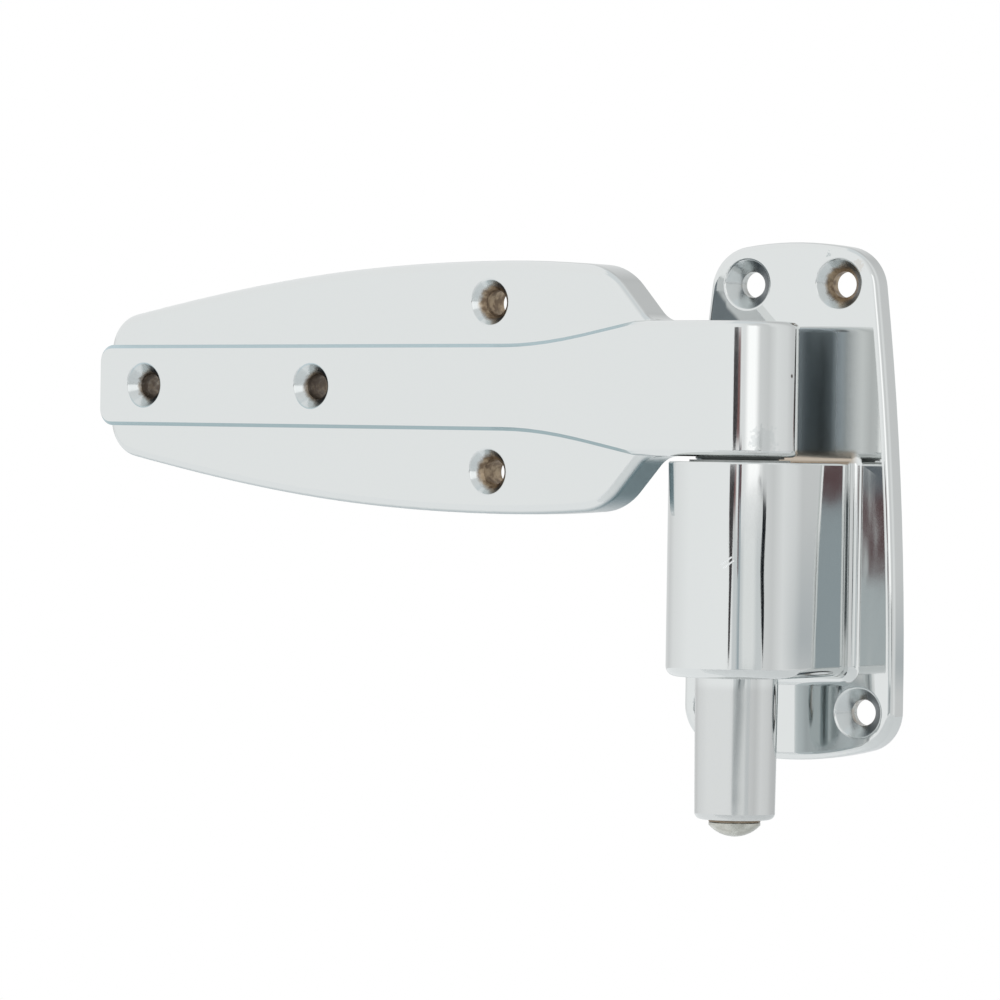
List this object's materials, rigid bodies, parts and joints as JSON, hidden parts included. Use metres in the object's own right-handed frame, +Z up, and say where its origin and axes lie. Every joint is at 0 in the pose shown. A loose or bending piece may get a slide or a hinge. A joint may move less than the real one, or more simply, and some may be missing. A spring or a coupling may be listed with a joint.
{
  "type": "spring hinge",
  "caption": "Chrome die-cast spring hinge: a tapered ribbed door strap, a jamb flange with barrel and spring tube, and hidden helical cams that lift the strap as it opens.",
  "frame": {"origin": "on the jamb plate's mounting face, in line with the hinge pin and level with the strap's middle line", "axes": "+Y into the jamb, +Z up along the hinge pin, +X away from the strap"},
  "size_m": [0.2539, 0.0569, 0.1646],
  "materials": {
    "chrome": "bright chrome plate over zinc die casting",
    "pin_steel": "bright plated steel",
    "cam_plastic": "dark grey-green moulded bearing plastic",
    "spring_steel": "oiled spring wire",
    "seat_plastic": "natural moulded bearing plastic",
    "follower_bronze": "dull brown bearing bronze"
  },
  "bodies": {
    "jamb": {"jamb_flange": "chrome", "lower_cam": "cam_plastic", "spring_seat": "seat_plastic", "spring": "spring_steel"},
    "lift": {"spring_follower": "follower_bronze"},
    "leaf": {"strap": "chrome", "hinge_pin": "pin_steel", "roll_pin": "pin_steel", "upper_cam": "cam_plastic"}
  },
  "joints": [
    {"name": "rise", "type": "slide", "parent": "jamb", "child": "lift", "axis": [0, 0, 1], "range_m": [0, 0.0166], "stiffness_N_per_m": 8600, "springref_m": -0.013, "deforming": ["spring"]},
    {"name": "swing", "type": "hinge", "parent": "lift", "child": "leaf", "pos_m": [0, -0.0373, 0], "axis": [0, 0, 1], "range_deg": [0, 117.4]}
  ],
  "couplings": [
    {"joint": "rise", "follows": "swing", "m_per_rad": 0.0080851}
  ]
}
